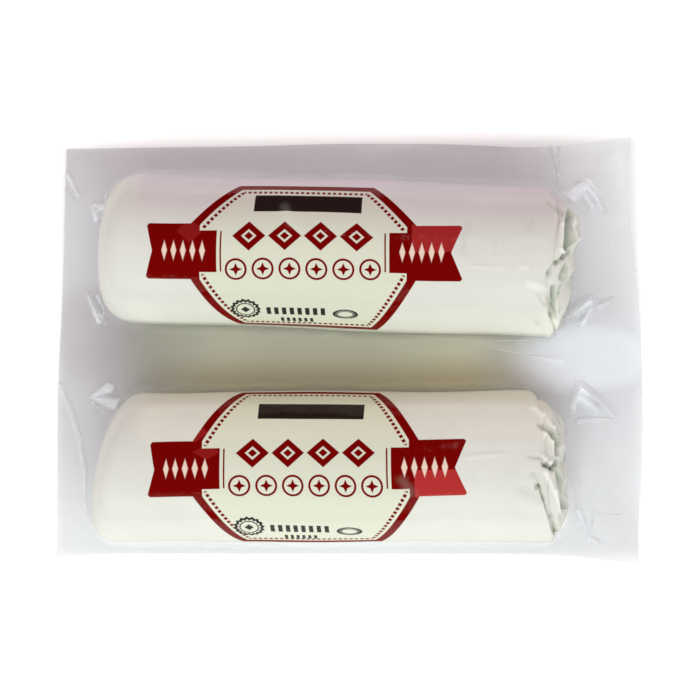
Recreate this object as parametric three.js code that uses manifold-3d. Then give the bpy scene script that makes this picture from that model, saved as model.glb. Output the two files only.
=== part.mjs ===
// A vacuum pack of two wrapped logs of goat cheese, lying flat.
// X runs along the logs, Y across the pack and Z up. The pack rests on z = 0, with its outline centred over
// the origin.
// The clear pouch is sealed all round. Its two films meet in a sheet at about the middle height of the logs,
// which fills the space between the logs and stands out round them as a wavy margin.
import * as THREE from "three";
import { mergeVertices } from "three/addons/utils/BufferGeometryUtils.js";
import Module from "manifold-3d";

const degree = Math.PI / 180;

// Driving dimensions, in millimetres.
const logRadius = 24.5;
const flatDepth = 0.8; // how far the round underside is pressed flat where the log rests
const axisHeight = logRadius - flatDepth;
const clearance = 0.3; // between each log and the sheet that holds it

const backLog = {
  name: "cheese_log_back",
  centre: [-2.6, 31.8],
  length: 159.6,
  turn: -2.1 * degree,
  leftRim: 10.5,
  leftSkew: 0.8, // how far the end leans back on its +Y side
  gatherOut: 7.6, // how far the folded wrap stands out past the right rim
  pleats: 9,
  phase: 0.4,
};
const frontLog = {
  name: "cheese_log_front",
  centre: [-6.0, -38.1],
  length: 157.6,
  turn: 0.2 * degree,
  leftRim: 9,
  leftSkew: 5.5,
  gatherOut: 7,
  pleats: 8,
  phase: 2.1,
};
const logs = [backLog, frontLog];

const rightRim = 3;
const leftDome = 1.6; // the folds over the left end stand a little proud
const skewReach = 34; // length of log that the left end's lean fades out over
const skewShift = 0.4; // share of the lean that moves the whole end, not only its sides
const gatherSquare = 4; // power that keeps the folded end nearly as wide as the log
const gatherTuck = 0.3; // share of gatherOut that the middle of the folded end is drawn back by
const gatherCrowding = 1.6; // power that crowds the rings of the folded end towards its rim
const pleatDepth = 1.6;
const pleatTwist = 0.55; // radians that the pleats turn between rim and middle
const pleatReach = 0.6; // share of the way in from the rim where the pleats die out
const wallWave = 0.3; // unevenness of the soft cheese along its length
const wallWaveLength = 88;
const wallFade = [20, 6]; // distances from the right end between which the unevenness fades out

// Each edge of the pouch in plan: a straight side, and the soft bulges that draw it out or in.
const pouchEdges = {
  top: { base: 68.8, bulges: [{ at: 64, width: 20, out: -1.8 }, { at: 98, width: 14, out: 1.2 }] },
  bottom: { base: -66.4, bulges: [{ at: -97, width: 12, out: -1.2 }, { at: 98, width: 20, out: -3.2 }] },
  left: { base: -96.4, bulges: [{ at: 60, width: 50, out: 2.1 }] },
  right: { base: 96.4, bulges: [{ at: 52, width: 30, out: -3.8 }, { at: -62, width: 20, out: -1.8 }] },
};
const sheetHeight = 22.4;
const sheetThickness = 1;
const sheetDroop = 3.2; // how far the margin hangs lower at its outer edge
const droopReach = 26;
const filletReach = 4.6; // width of the slope where the film leaves a log
const filletHeight = 3.4;
const ripples = [
  { height: 0.9, alongX: 17, alongY: 41, phase: 0 },
  { height: 0.7, alongX: -37, alongY: 13, phase: 1.2 },
  { height: 0.5, alongX: 9, alongY: 9, phase: 0.5 },
];

// Ears at the logs' corners, where the flat film had to be drawn round the ends, and two longer creases.
const ears = [
  { foot: [-76, 47], tip: [-86.5, 50], height: 5.5, width: 7 },
  { foot: [-76, 15], tip: [-87, 9], height: 5, width: 8 },
  { foot: [71, 44], tip: [87, 43], height: 6.5, width: 10 },
  { foot: [71, 14], tip: [85, 14], height: 5, width: 8 },
  { foot: [-72, -20], tip: [-86, -14], height: 6, width: 8 },
  { foot: [69, -22], tip: [87, -20], height: 6.5, width: 10 },
  { foot: [68, -52], tip: [80, -56], height: 4.5, width: 8 },
  { foot: [-84, -42], tip: [-94, -12], height: 3, width: 5 },
  { foot: [69, 50], tip: [68, 66], height: 3, width: 5 },
];

const angularSteps = 54;
const wallSteps = 7;
const capSteps = 4;
const rimSteps = 4;
const gatherSteps = 8;
const sheetColumns = 50;
const sheetRows = 36;

const wrapMaterial = new THREE.MeshStandardMaterial({ color: 0xe6e4d8, roughness: 0.35, metalness: 0 });
const pouchMaterial = new THREE.MeshStandardMaterial({ color: 0xcfcdd4, roughness: 0.2, metalness: 0 });

const smooth = (from, to, value) => THREE.MathUtils.smoothstep(value, from, to);
const bump = (value, centre, width) => Math.exp(-(((value - centre) / width) ** 2));
const triangleWave = (value) => 1 - 4 * Math.abs(value - Math.floor(value + 0.5));

const wasm = await Module();
wasm.setup();

function solidFrom(geometry) {
  const bare = geometry.index ? geometry.toNonIndexed() : geometry.clone();
  bare.deleteAttribute("normal");
  bare.deleteAttribute("uv");
  const merged = mergeVertices(bare, 1e-4);
  return new wasm.Manifold(
    new wasm.Mesh({
      numProp: 3,
      vertProperties: merged.attributes.position.array,
      triVerts: new Uint32Array(merged.index.array),
    }),
  );
}

function geometryFrom(solid) {
  const mesh = solid.getMesh();
  const geometry = new THREE.BufferGeometry();
  geometry.setAttribute("position", new THREE.BufferAttribute(new Float32Array(mesh.vertProperties), 3));
  geometry.setIndex(new THREE.BufferAttribute(new Uint32Array(mesh.triVerts), 1));
  geometry.computeVertexNormals();
  return geometry;
}

// The log's profile from its left pole to its right pole, as stations along the axis.
// gather runs from 0 at the right rim to 1 at the right pole, and is 0 everywhere else.
function logStations(log) {
  const half = log.length / 2;
  const wallStart = -half + leftDome + log.leftRim;
  const wallEnd = half - log.gatherOut - rightRim;
  const stations = [];
  for (let i = 1; i <= capSteps; i++) {
    const share = i / capSteps;
    stations.push({
      x: -half + leftDome * share ** 2,
      r: (logRadius - log.leftRim) * share,
      gather: 0,
    });
  }
  for (let i = 1; i <= rimSteps; i++) {
    const turn = (i / rimSteps) * (Math.PI / 2);
    stations.push({
      x: wallStart - log.leftRim * Math.cos(turn),
      r: logRadius - log.leftRim * (1 - Math.sin(turn)),
      gather: 0,
    });
  }
  for (let i = 1; i <= wallSteps; i++) {
    stations.push({ x: THREE.MathUtils.lerp(wallStart, wallEnd, i / wallSteps), r: logRadius, gather: 0 });
  }
  for (let i = 1; i <= rimSteps; i++) {
    const turn = (i / rimSteps) * (Math.PI / 2);
    stations.push({
      x: wallEnd + rightRim * Math.sin(turn),
      r: logRadius - rightRim * (1 - Math.cos(turn)),
      gather: 0,
    });
  }
  for (let i = 1; i < gatherSteps; i++) {
    const share = (i / gatherSteps) ** gatherCrowding;
    const swell = Math.sqrt(1 - (1 - share) ** gatherSquare) - gatherTuck * smooth(0.4, 1, share);
    stations.push({
      x: wallEnd + rightRim + log.gatherOut * swell,
      r: (logRadius - rightRim) * (1 - share),
      gather: share,
    });
  }
  return stations;
}

// How far the left end leans towards the right, at a point of the log along and across its own axis.
function leanAt(log, along, across) {
  const leftEnd = -log.length / 2;
  return log.leftSkew * (1 - smooth(leftEnd, leftEnd + skewReach, along)) * (across / logRadius + skewShift);
}

// One point of a log's skin in the pack's frame. grow moves it outwards, for the opening that holds the log.
function logPoint(log, station, angle, grow) {
  const half = log.length / 2;
  const [fadeStart, fadeEnd] = wallFade;
  const pleat =
    pleatDepth *
    triangleWave((log.pleats * (angle + pleatTwist * station.gather) + log.phase) / (2 * Math.PI)) *
    Math.sin(Math.PI * Math.min(station.gather / pleatReach, 1));
  const onWall =
    smooth(-half, -half + skewReach, station.x) * (1 - smooth(half - fadeStart, half - fadeEnd, station.x));
  const wave = Math.sin((2 * Math.PI * station.x) / wallWaveLength + 2 * angle + log.phase);
  const radius = station.r + wallWave * onWall * wave + (station.r / logRadius) * (pleat / 2);
  const across = Math.cos(angle) * (radius + grow);
  const up = Math.max(Math.sin(angle) * (radius + grow), -axisHeight - grow);
  const along = station.x + leanAt(log, station.x, across) + pleat + (grow * station.x) / half;
  return [
    log.centre[0] + along * Math.cos(log.turn) - across * Math.sin(log.turn),
    log.centre[1] + along * Math.sin(log.turn) + across * Math.cos(log.turn),
    axisHeight + up,
  ];
}

function logGeometry(log, grow = 0) {
  const stations = logStations(log);
  const half = log.length / 2;
  const positions = [];
  for (const station of stations) {
    for (let j = 0; j < angularSteps; j++) {
      positions.push(...logPoint(log, station, (j / angularSteps) * 2 * Math.PI, grow));
    }
  }
  const leftPole = positions.length / 3;
  positions.push(...logPoint(log, { x: -half, r: -grow, gather: 0 }, 0, grow));
  const rightPole = leftPole + 1;
  const last = stations[stations.length - 1];
  positions.push(...logPoint(log, { x: last.x, r: -grow, gather: 1 }, 0, grow));

  const indices = [];
  for (let i = 0; i < stations.length - 1; i++) {
    for (let j = 0; j < angularSteps; j++) {
      const next = (j + 1) % angularSteps;
      const a = i * angularSteps + j;
      const b = i * angularSteps + next;
      const c = a + angularSteps;
      const d = b + angularSteps;
      indices.push(a, b, c, b, d, c);
    }
  }
  const lastRing = (stations.length - 1) * angularSteps;
  for (let j = 0; j < angularSteps; j++) {
    const next = (j + 1) % angularSteps;
    indices.push(leftPole, next, j);
    indices.push(rightPole, lastRing + j, lastRing + next);
  }
  const geometry = new THREE.BufferGeometry();
  geometry.setAttribute("position", new THREE.Float32BufferAttribute(positions, 3));
  geometry.setIndex(indices);
  geometry.computeVertexNormals();
  return geometry;
}

// Where one edge of the pouch lies, at a distance along it.
function edgeAt({ base, bulges }, along) {
  return bulges.reduce((sum, { at, width, out }) => sum + out * bump(along, at, width), base);
}

// Distance in plan from a point to the outline of the log's middle height, negative inside.
function planDistance(log, x, y) {
  const dx = x - log.centre[0];
  const dy = y - log.centre[1];
  const along = dx * Math.cos(log.turn) + dy * Math.sin(log.turn);
  const across = -dx * Math.sin(log.turn) + dy * Math.cos(log.turn);
  const corner = along < 0 ? log.leftRim : rightRim;
  const outX = Math.abs(along - leanAt(log, along, across)) - (log.length / 2 - corner);
  const outY = Math.abs(across) - (logRadius - corner);
  return Math.hypot(Math.max(outX, 0), Math.max(outY, 0)) + Math.min(Math.max(outX, outY), 0) - corner;
}

// The middle surface of the sheet: level near the logs, lower and wavier towards its edges.
function sheetMiddle(x, y) {
  const { top, bottom, left, right } = pouchEdges;
  const edgeGap = Math.min(
    edgeAt(top, x) - y,
    y - edgeAt(bottom, x),
    x - edgeAt(left, y),
    edgeAt(right, y) - x,
  );
  const loose = 1 - smooth(0, droopReach, edgeGap);
  const wave = ripples.reduce(
    (sum, { height, alongX, alongY, phase }) => sum + height * Math.sin(x / alongX + y / alongY + phase),
    0,
  );
  return sheetHeight - sheetDroop * loose ** 2 + wave * loose;
}

// Half the sheet's thickness: thin where the two films lie together, thicker where they part round a log.
function sheetHalf(x, y) {
  const gap = Math.min(...logs.map((log) => planDistance(log, x, y)));
  const rise = 1 - THREE.MathUtils.clamp(gap / filletReach, 0, 1);
  return sheetThickness / 2 + filletHeight * rise ** 2;
}

function sheetGeometry() {
  const { top, bottom, left, right } = pouchEdges;
  const positions = [];
  const indices = [];
  for (const side of [1, -1]) {
    for (let i = 0; i <= sheetColumns; i++) {
      for (let j = 0; j <= sheetRows; j++) {
        const s = i / sheetColumns;
        const t = j / sheetRows;
        const roughX = THREE.MathUtils.lerp(left.base, right.base, s);
        const y = THREE.MathUtils.lerp(edgeAt(bottom, roughX), edgeAt(top, roughX), t);
        const x = THREE.MathUtils.lerp(edgeAt(left, y), edgeAt(right, y), s);
        positions.push(x, y, sheetMiddle(x, y) + side * sheetHalf(x, y));
      }
    }
  }
  const stride = sheetRows + 1;
  const layer = (sheetColumns + 1) * stride;
  for (let i = 0; i < sheetColumns; i++) {
    for (let j = 0; j < sheetRows; j++) {
      const a = i * stride + j;
      const b = a + stride;
      indices.push(a, b, b + 1, a, b + 1, a + 1);
      indices.push(layer + a, layer + b + 1, layer + b, layer + a, layer + a + 1, layer + b + 1);
    }
  }
  const rim = [];
  for (let i = 0; i < sheetColumns; i++) rim.push(i * stride);
  for (let j = 0; j < sheetRows; j++) rim.push(sheetColumns * stride + j);
  for (let i = sheetColumns; i > 0; i--) rim.push(i * stride + sheetRows);
  for (let j = sheetRows; j > 0; j--) rim.push(j);
  rim.forEach((a, k) => {
    const b = rim[(k + 1) % rim.length];
    indices.push(a, layer + a, layer + b, a, layer + b, b);
  });
  const geometry = new THREE.BufferGeometry();
  geometry.setAttribute("position", new THREE.Float32BufferAttribute(positions, 3));
  geometry.setIndex(indices);
  return geometry;
}

// A pinched ear of film: a low three-sided ridge that runs from its foot by a log out to a point.
function earGeometry({ foot, tip, height, width }) {
  const start = new THREE.Vector2(...foot);
  const end = new THREE.Vector2(...tip);
  const side = end.clone().sub(start).normalize().rotateAround(new THREE.Vector2(), Math.PI / 2);
  const low = (point) => sheetMiddle(point.x, point.y);
  const left = start.clone().addScaledVector(side, width / 2);
  const right = start.clone().addScaledVector(side, -width / 2);
  const positions = [
    [left.x, left.y, low(left)],
    [right.x, right.y, low(right)],
    [start.x, start.y, low(start) + height],
    [end.x, end.y, low(end)],
  ].flat();
  const geometry = new THREE.BufferGeometry();
  geometry.setAttribute("position", new THREE.Float32BufferAttribute(positions, 3));
  geometry.setIndex([0, 1, 2, 0, 3, 1, 1, 3, 2, 0, 2, 3]);
  return geometry;
}

function pouchGeometry() {
  let pouch = solidFrom(sheetGeometry());
  for (const ear of ears) pouch = pouch.add(solidFrom(earGeometry(ear)));
  for (const log of logs) pouch = pouch.subtract(solidFrom(logGeometry(log, clearance)));
  return geometryFrom(pouch);
}

function named(name, geometry, material) {
  const mesh = new THREE.Mesh(geometry, material);
  mesh.name = name;
  return mesh;
}

const pack = new THREE.Group();
for (const log of logs) pack.add(named(log.name, logGeometry(log), wrapMaterial));
pack.add(named("clear_pouch", pouchGeometry(), pouchMaterial));

// The whole pack is moved so that its outline is centred over the origin.
const outline = new THREE.Box3().setFromObject(pack, true);
const middle = outline.getCenter(new THREE.Vector3());
pack.position.set(-middle.x, -middle.y, -outline.min.z);

export default pack;
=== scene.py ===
import math

import bmesh
import bpy
import numpy as np
from mathutils import Matrix, Vector
from mathutils.bvhtree import BVHTree
from mathutils.geometry import delaunay_2d_cdt


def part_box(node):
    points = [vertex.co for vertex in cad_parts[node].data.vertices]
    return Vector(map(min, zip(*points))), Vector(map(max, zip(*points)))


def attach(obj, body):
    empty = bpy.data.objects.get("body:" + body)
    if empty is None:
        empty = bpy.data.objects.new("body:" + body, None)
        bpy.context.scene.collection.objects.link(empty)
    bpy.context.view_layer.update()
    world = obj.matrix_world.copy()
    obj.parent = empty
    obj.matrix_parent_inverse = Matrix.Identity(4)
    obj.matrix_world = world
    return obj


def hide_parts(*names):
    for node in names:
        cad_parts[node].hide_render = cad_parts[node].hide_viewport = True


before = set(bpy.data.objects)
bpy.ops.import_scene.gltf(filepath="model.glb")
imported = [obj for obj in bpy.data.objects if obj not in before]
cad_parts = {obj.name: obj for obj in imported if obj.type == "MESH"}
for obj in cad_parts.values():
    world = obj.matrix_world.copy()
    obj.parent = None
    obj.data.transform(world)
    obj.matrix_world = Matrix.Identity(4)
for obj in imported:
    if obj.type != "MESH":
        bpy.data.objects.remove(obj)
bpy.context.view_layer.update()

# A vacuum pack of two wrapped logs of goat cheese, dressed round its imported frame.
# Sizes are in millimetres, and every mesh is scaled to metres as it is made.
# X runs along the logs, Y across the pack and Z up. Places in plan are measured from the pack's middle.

mm = 0.001
rng = np.random.default_rng(7)


def smoothStep(start, end, value):
    share = np.clip((value - start) / (end - start), 0, 1)
    return share * share * (3 - 2 * share)


def bump(value, centre, width):
    return np.exp(-(((value - centre) / width) ** 2))


def travelAlong(first, second):  # how far along a line each of its points is, from their two coordinates
    return np.concatenate([[0], np.cumsum(np.hypot(np.diff(first), np.diff(second)))])


# Nodes: one method makes them all, and a wire carries a socket through Python's own arithmetic.

def mathWith(operation):
    return lambda wire, *others: wire.math(operation, *others)


class Wire:
    def __init__(self, book, socket):
        self.book = book
        self.socket = socket

    def math(self, operation, *others):
        sockets = dict(enumerate((self, *others)))
        return self.book.make("ShaderNodeMath", {"operation": operation}, sockets)

    __add__ = __radd__ = mathWith("ADD")
    __mul__ = __rmul__ = mathWith("MULTIPLY")
    __sub__ = mathWith("SUBTRACT")
    __truediv__ = mathWith("DIVIDE")
    __pow__ = mathWith("POWER")
    __abs__ = mathWith("ABSOLUTE")
    under = mathWith("MINIMUM")
    over = mathWith("MAXIMUM")
    sin = mathWith("SINE")
    fraction = mathWith("FRACT")
    floor = mathWith("FLOOR")

    def __rsub__(self, other):
        return self.book.value(other).math("SUBTRACT", self)

    def __neg__(self):
        return self * -1.0

    def clamp(self, low=0.0, high=1.0):
        return self.over(low).under(high)

    def step(self, start, end):  # eases from 0 at start to 1 at end
        sockets = {0: self, 1: start, 2: end}
        return self.book.make("ShaderNodeMapRange", {"interpolation_type": "SMOOTHSTEP"}, sockets)


class NodeBook:
    def __init__(self, tree):
        self.tree = tree

    def make(self, kind, settings=None, sockets=None, output=0):
        node = self.tree.nodes.new(kind)
        for name, value in (settings or {}).items():
            setattr(node, name, value)
        for key, value in (sockets or {}).items():
            if isinstance(value, Wire):
                self.tree.links.new(value.socket, node.inputs[key])
            elif isinstance(value, tuple) and node.inputs[key].type == "RGBA" and len(value) == 3:
                node.inputs[key].default_value = (*value, 1)
            else:
                node.inputs[key].default_value = value
        return Wire(self, node.outputs[output]) if len(node.outputs) else node

    def value(self, number):
        return self.make("ShaderNodeMath", {"operation": "ADD"}, {0: number, 1: 0.0})

    def colours(self, mask, first, second, kind="MIX"):  # by the numbers of the node's colour sockets
        settings = {"data_type": "RGBA", "blend_type": kind}
        return self.make("ShaderNodeMix", settings, {0: mask, 6: first, 7: second}, 2)

    def split(self, vector):
        parts = self.make("ShaderNodeSeparateXYZ", None, {0: vector})
        return tuple(Wire(self, socket) for socket in parts.socket.node.outputs)

    def vector(self, operation, first, second):
        slot = 3 if operation == "SCALE" else 1
        return self.make("ShaderNodeVectorMath", {"operation": operation}, {0: first, slot: second})

    def objectPlace(self):
        return self.make("ShaderNodeTexCoord", None, None, "Object")

    def paint(self, name):  # a mesh attribute, in a material
        return self.make("ShaderNodeAttribute", {"attribute_name": name}, None, "Fac")

    def stored(self, name):  # the same, in a tree of Geometry Nodes
        return self.make("GeometryNodeInputNamedAttribute", {"data_type": "FLOAT"}, {"Name": name})

    def noise(self, vector, scale, detail=2.0, roughness=0.5, kind="FBM", seed=0.0):
        settings = {"noise_dimensions": "4D", "noise_type": kind}
        sockets = {"Vector": vector, "W": seed, "Scale": scale, "Detail": detail, "Roughness": roughness}
        return self.make("ShaderNodeTexNoise", settings, sockets)


def newMaterial(name):
    material = bpy.data.materials.new(name)
    material.use_nodes = True
    material.node_tree.nodes.clear()
    return material, NodeBook(material.node_tree)


def newTree(name, inputs):
    tree = bpy.data.node_groups.new(name, "GeometryNodeTree")
    for key, kind in {"Geometry": "Geometry", **inputs}.items():
        tree.interface.new_socket(key, in_out="INPUT", socket_type="NodeSocket" + kind)
    tree.interface.new_socket("Geometry", in_out="OUTPUT", socket_type="NodeSocketGeometry")
    book = NodeBook(tree)
    entry = tree.nodes.new("NodeGroupInput")
    return book, {socket.name: Wire(book, socket) for socket in entry.outputs}


def closeTree(book, geometry, material):
    real = book.make("GeometryNodeRealizeInstances", None, {0: geometry})
    painted = book.make("GeometryNodeSetMaterial", None, {"Geometry": real, "Material": material})
    book.make("NodeGroupOutput", None, {0: painted})
    return book.tree


# Runs a tree once on an object, and leaves the result as its plain mesh.
def applyTree(thing, tree, values):
    modifier = thing.modifiers.new(tree.name, "NODES")
    modifier.node_group = tree
    for item in tree.interface.items_tree:
        if item.in_out == "INPUT" and item.name in values:
            modifier[item.identifier] = values[item.name]
    bpy.context.view_layer.update()
    shown = thing.evaluated_get(bpy.context.evaluated_depsgraph_get())
    mesh = bpy.data.meshes.new_from_object(shown)
    thing.modifiers.clear()
    thing.data = mesh
    mesh.name = thing.name


def meshObject(name, points, faces, material, edges=()):
    mesh = bpy.data.meshes.new(name)
    mesh.from_pydata((np.asarray(points) * mm).tolist(), edges, faces)
    mesh.materials.append(material)
    mesh.shade_smooth()
    thing = bpy.data.objects.new(name, mesh)
    bpy.context.scene.collection.objects.link(thing)
    return thing


def storeFloats(mesh, name, values):
    attribute = mesh.attributes.new(name, "FLOAT", "POINT")
    attribute.data.foreach_set("value", np.asarray(values, np.float32))


# The logs

logShape = {
    "radius": 24.5,
    "flatDepth": 0.8,  # how far the round underside is pressed flat
    "filmRoom": 0.15,  # between that flat and the floor, for the pouch's film
    "rightRim": 3.0,
    "leftDome": 1.6,
    "skewReach": 34.0,
    "skewShift": 0.4,
    "trimFade": (30, 8),  # distances from the right end between which the trim comes in
    "shiftFade": (34, 10),  # and the rim's shifts, and where they ease off again, by a share
    "shiftEase": (12, 1),
    "shiftEaseShare": 0.45,
    "calmEnd": (20, 6),  # and where the wall's wave dies down
    "gatherPower": 1.3,
    "gatherSquare": 4.0,
    "gatherTuck": 0.3,
    "gatherTuckFrom": 0.4,
    "wallWave": 0.3,
    "wallWaveLength": 88.0,
    "capSteps": 16,
    "rimSteps": 10,
    "wallSteps": 96,
    "gatherSteps": 56,
    "turnSteps": 236,
    "pleatDepth": 1.0,
    "pleatTwist": 0.55,
    "pleatReach": 0.6,  # share of the gathered end that the pleats cover
    "crumpleDepth": 1.6,
    "crumpleScale": 130.0,
    "lumpHeight": 0.5,
    "lumpScale": 34.0,
    "hollowDepth": 1.9,  # a fold this deep has its full painted shade, and one this high its full painted shine
    "crestHeight": 0.6,
    "creaseAngle": math.radians(30),  # sharper bends than this stay crisp
}
axisHeight = logShape["radius"] - logShape["flatDepth"]

# Trims draw the left and right ends in.
# Rim shifts bend the right rim: where across the log, how wide, how far.
# Folds in the wrap have a height, negative for a valley, a half width, and a line of places in plan.
# The wrap's painted light and shade, multiplied into its colour: low on its near side, on its far side, and
# along its far edge.
# Red highlights are painted highlights on the label: a strength, a shape, and its place and half sizes.
logs = {
    "wrappedLogBack": {
        "node": "cheese_log_back",
        "centre": (-2.6, 31.3),
        "turn": math.radians(-2.5),
        "length": 159.6,
        "leftRim": 10.5,
        "leftSkew": 0.8,
        "trims": (1.2, 1.1),
        "rimShifts": [(-11.0, 8.0, -3.2), (-24.0, 4.5, 1.2), (24.0, 6.0, -2.6), (14.0, 6.0, 0.8)],
        "gatherOut": 7.6,
        "pleats": 9,
        "phase": 0.4,
        "seed": 3.0,
        "labelAt": -9.0,
        "labelRoll": math.radians(-5.5),
        "labelTilt": math.radians(1.5),
        "topAt": 25.6,
        "topSlant": 0.86,
        "plateAt": 16.6,
        "stampsAt": -21.4,
        "redHighlights": [(0.7, "box", 44.0, 5.0, 9.4, 4.6), (0.3, "lozenge", -36.2, 6.6, 4.4, 4.0)],
        "nearTint": (1.28, 1.28, 1.25),
        "farTint": (0.93, 0.87, 0.92),
        "browTint": (0.94, 0.91, 0.98),
        "folds": [
            (-3.0, 1.7, (73.4, 43.0), (72.6, 30.4)),
            (0.9, 0.9, (72.5, 44.5), (70.7, 37.6), (70.1, 29.6), (71.8, 28.2), (75.6, 34.3)),
            (0.8, 0.9, (73.7, 44.0), (75.3, 39.5), (76.1, 33.3)),
            (-1.3, 0.8, (68.5, 25.1), (71.3, 27.1), (74.2, 29.6)),
            (-1.1, 0.8, (65.9, 21.6), (68.9, 25.6)),
            (-1.2, 0.8, (72.7, 24.3), (70.3, 20.6)),
            (-1.2, 0.8, (72.2, 20.6), (69.8, 16.1)),
            (-2.2, 1.3, (67.5, 17.3), (67.3, 9.6)),
            (1.2, 0.8, (68.9, 14.3), (68.7, 5.2)),
            (0.9, 1.0, (63.8, 6.4), (68.0, 2.5)),
            (-0.8, 0.9, (62.2, 7.0), (66.5, 4.4)),
            (-0.6, 1.1, (62.9, 15.2), (64.7, 12.7)),
            (0.5, 2.4, (60.0, 18.5), (65.0, 17.0)),
            (-1.0, 1.4, (66.4, 45.0), (70.5, 41.4)),
            (-0.5, 1.2, (60.7, 38.3), (59.8, 35.8)),
            (-0.5, 1.6, (40.9, 38.6), (39.0, 28.5)),
            (-0.35, 1.2, (49.9, 33.0), (49.6, 28.3)),
            (0.35, 0.9, (41.3, 23.9), (52.8, 23.2)),
            (0.45, 1.2, (57.5, 23.4), (59.8, 23.6)),
            (0.4, 3.2, (-17.6, 44.0), (-15.4, 38.5)),
        ],
    },
    "wrappedLogFront": {
        "node": "cheese_log_front",
        "centre": (-6.0, -38.1),
        "turn": math.radians(0.0),
        "length": 157.6,
        "leftRim": 9.0,
        "leftSkew": 5.5,
        "trims": (2.3, 0.4),
        "rimShifts": [(24.0, 10.0, -4.2), (-24.0, 9.0, 3.2), (4.0, 5.0, -1.0)],
        "gatherOut": 7.0,
        "pleats": 8,
        "phase": 2.1,
        "seed": 11.0,
        "labelAt": -4.6,
        "labelRoll": math.radians(-3.0),
        "labelTilt": math.radians(0.3),
        "topAt": 33.5,
        "topSlant": 0.563,
        "plateAt": 20.2,
        "stampsAt": -22.0,
        "redHighlights": [
            (1.0, "box", 44.0, -5.0, 9.4, 4.4),
            (0.4, "lozenge", -35.4, 12.0, 4.2, 3.6),
            (0.3, "lozenge", -31.6, 5.4, 4.4, 2.4),
        ],
        "nearTint": (0.97, 0.96, 0.95),
        "farTint": (1.14, 1.12, 1.08),
        "browTint": (0.86, 0.84, 0.79),
        "folds": [
            (0.8, 0.9, (60.5, -20.4), (63.8, -22.9), (67.8, -26.8), (69.4, -33.1)),
            (-1.4, 1.3, (63.2, -26.0), (67.0, -28.2)),
            (-1.6, 1.3, (67.0, -28.2), (68.6, -31.0), (68.8, -34.6)),
            (0.8, 0.8, (64.4, -28.6), (67.0, -31.4), (67.4, -35.0)),
            (-1.9, 0.9, (64.2, -38.3), (66.6, -39.9), (68.9, -37.5)),
            (0.9, 0.9, (63.7, -35.8), (66.4, -38.0), (68.7, -35.4)),
            (-1.5, 0.8, (61.2, -41.3), (62.6, -45.5), (64.3, -49.2), (66.1, -54.6)),
            (-1.4, 0.9, (66.1, -54.6), (67.6, -59.5)),
            (0.9, 1.2, (64.4, -40.6), (67.6, -46.2), (70.0, -53.6)),
            (-1.8, 1.0, (69.4, -41.1), (71.4, -51.0)),
            (-0.8, 1.0, (59.7, -35.9), (63.7, -36.3)),
            (-0.5, 2.4, (57.4, -46.0), (62.8, -49.4)),
            (0.35, 0.9, (40.3, -36.3), (51.8, -35.1)),
            (-0.3, 1.4, (42.5, -41.3), (42.5, -43.8)),
            (-0.4, 2.2, (20.0, -43.4), (22.6, -46.8)),
        ],
    },
}


def logProfile(log):
    shape = logShape
    radius, leftRim, rightRim = shape["radius"], log["leftRim"], shape["rightRim"]
    half = log["length"] / 2
    wallStart = -half + shape["leftDome"] + leftRim
    wallEnd = half - log["gatherOut"] - rightRim
    cap = np.linspace(0, 1, shape["capSteps"] + 1)
    quarter = np.linspace(0, math.pi / 2, shape["rimSteps"] + 1)[1:]
    wall = np.linspace(wallStart, wallEnd, shape["wallSteps"] + 1)[1:]
    gather = np.linspace(0, 1, shape["gatherSteps"] + 1)[1:] ** shape["gatherPower"]
    swell = np.sqrt(1 - (1 - gather) ** shape["gatherSquare"])
    swell = swell - shape["gatherTuck"] * smoothStep(shape["gatherTuckFrom"], 1, gather)
    along = np.concatenate([
        -half + shape["leftDome"] * cap ** 2,
        wallStart - leftRim * np.cos(quarter),
        wall,
        wallEnd + rightRim * np.sin(quarter),
        wallEnd + rightRim + log["gatherOut"] * swell,
    ])
    radii = np.concatenate([
        (radius - leftRim) * cap,
        radius - leftRim * (1 - np.sin(quarter)),
        np.full(len(wall), radius),
        radius - rightRim * (1 - np.cos(quarter)),
        (radius - rightRim) * (1 - gather),
    ])
    folded = np.concatenate([np.zeros(len(along) - len(gather)), gather])
    return along, radii, folded, wallStart


def nearRightEnd(log, along, distances):  # eases from 0 to 1 between two distances from the right end
    far, near = distances
    return smoothStep(log["length"] / 2 - far, log["length"] / 2 - near, along)


def leanAt(log, along, across):
    shape, half = logShape, log["length"] / 2
    leftTrim, rightTrim = log["trims"]
    fade = 1 - smoothStep(-half, -half + shape["skewReach"], along)
    lean = fade * (log["leftSkew"] * (across / shape["radius"] + shape["skewShift"]) + leftTrim)
    lean = lean - rightTrim * nearRightEnd(log, along, shape["trimFade"])
    ease = 1 - shape["shiftEaseShare"] * nearRightEnd(log, along, shape["shiftEase"])
    nearRim = nearRightEnd(log, along, shape["shiftFade"]) * ease
    return lean + nearRim * sum(shift * bump(across, at, width) for at, width, shift in log["rimShifts"])


def logSkin(log, along, radius, turn, proud=0.0):
    shape, half = logShape, log["length"] / 2
    onWall = smoothStep(-half, -half + shape["skewReach"], along)
    onWall = onWall * (1 - nearRightEnd(log, along, shape["calmEnd"]))
    wave = np.sin(2 * math.pi * along / shape["wallWaveLength"] + 2 * turn + log["phase"])
    radius = radius + shape["wallWave"] * onWall * wave + proud
    across = np.cos(turn) * radius
    up = np.maximum(np.sin(turn) * radius, -axisHeight + shape["filmRoom"] - proud)
    along = along + leanAt(log, along, across)
    return np.stack([*toPlan(log, along, across), axisHeight + up], -1)


def toPlan(log, along, across):
    cosine, sine = math.cos(log["turn"]), math.sin(log["turn"])
    x = log["centre"][0] + along * cosine - across * sine + packShift[0]
    y = log["centre"][1] + along * sine + across * cosine + packShift[1]
    return x, y


def segments(lines):
    return [pair for line in lines for pair in zip(line, line[1:])]


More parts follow.
